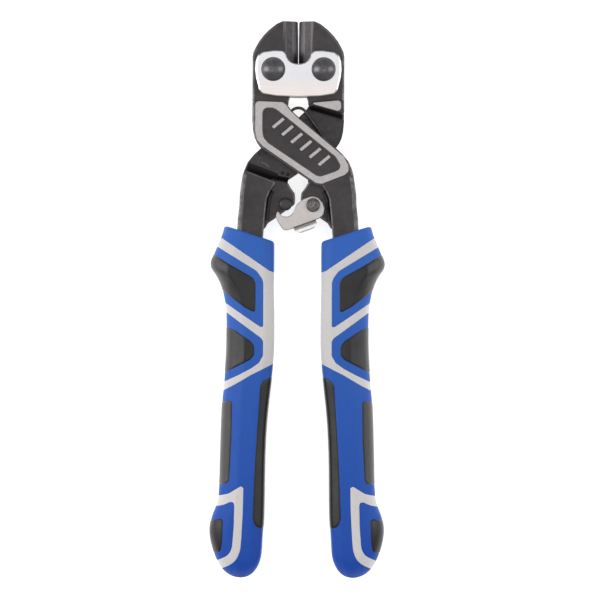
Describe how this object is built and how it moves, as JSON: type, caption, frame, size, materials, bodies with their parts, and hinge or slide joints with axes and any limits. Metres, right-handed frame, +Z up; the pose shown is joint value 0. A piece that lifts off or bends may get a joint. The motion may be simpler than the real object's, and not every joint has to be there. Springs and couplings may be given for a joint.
{
  "type": "bolt cutters",
  "caption": "Compact bolt cutters with crossing forged levers, chromed link plates, a hook latch and blue and grey co-moulded grips, stored closed.",
  "frame": {"origin": "middle of the closed tool in X and Y, on the surface that it lies on", "axes": "+X right, +Y from the grips towards the jaws, +Z up off the surface, which is the side facing the viewer"},
  "size_m": [0.0644, 0.2057, 0.02],
  "materials": {
    "lever_steel": "dark phosphate or satin coat over forged steel, with the border of the crossing ground bright",
    "plate_chrome": "satin chrome plate",
    "rivet_steel": "dark satin steel",
    "spring_steel": "plain spring strip",
    "latch_zinc": "matt zinc plate on pressed steel",
    "grip_grey": "satin hard plastic",
    "grip_blue": "satin soft-feel plastic",
    "grip_black": "matt soft rubber"
  },
  "bodies": {
    "head": {"front_link_plate": "plate_chrome", "rear_link_plate": "plate_chrome", "left_pivot_rivet": "rivet_steel", "right_pivot_rivet": "rivet_steel", "return_spring": "spring_steel"},
    "right_handle": {"front_lever": "lever_steel", "latch_rivet": "rivet_steel", "right_grip_core": "grip_grey", "right_grip_sleeve": "grip_blue", "right_upper_pad": "grip_black", "right_middle_pad": "grip_black", "right_inner_strip": "grip_black", "right_outer_strip": "grip_black", "right_end_pad": "grip_black"},
    "left_handle": {"rear_lever": "lever_steel", "catch_stud": "lever_steel", "left_grip_core": "grip_grey", "left_grip_sleeve": "grip_blue", "left_upper_pad": "grip_black", "left_middle_pad": "grip_black", "left_inner_strip": "grip_black", "left_outer_strip": "grip_black", "left_end_pad": "grip_black"},
    "latch": {"latch": "latch_zinc"}
  },
  "joints": [
    {"name": "right_handle_hinge", "type": "hinge", "parent": "head", "child": "right_handle", "pos_m": [-0.0093, 0.085, 0.01], "axis": [0, 0, 1], "range_deg": [0, 13], "deforming": ["return_spring"]},
    {"name": "left_handle_hinge", "type": "hinge", "parent": "head", "child": "left_handle", "pos_m": [0.0093, 0.085, 0.01], "axis": [0, 0, 1], "range_deg": [-13, 0]},
    {"name": "latch_hinge", "type": "hinge", "parent": "right_handle", "child": "latch", "pos_m": [0.0056, 0.0349, 0.0137], "axis": [0, 0, 1], "range_deg": [-12, 35]}
  ],
  "couplings": [
    {"joint": "left_handle_hinge", "follows": "right_handle_hinge", "ratio": -1}
  ]
}
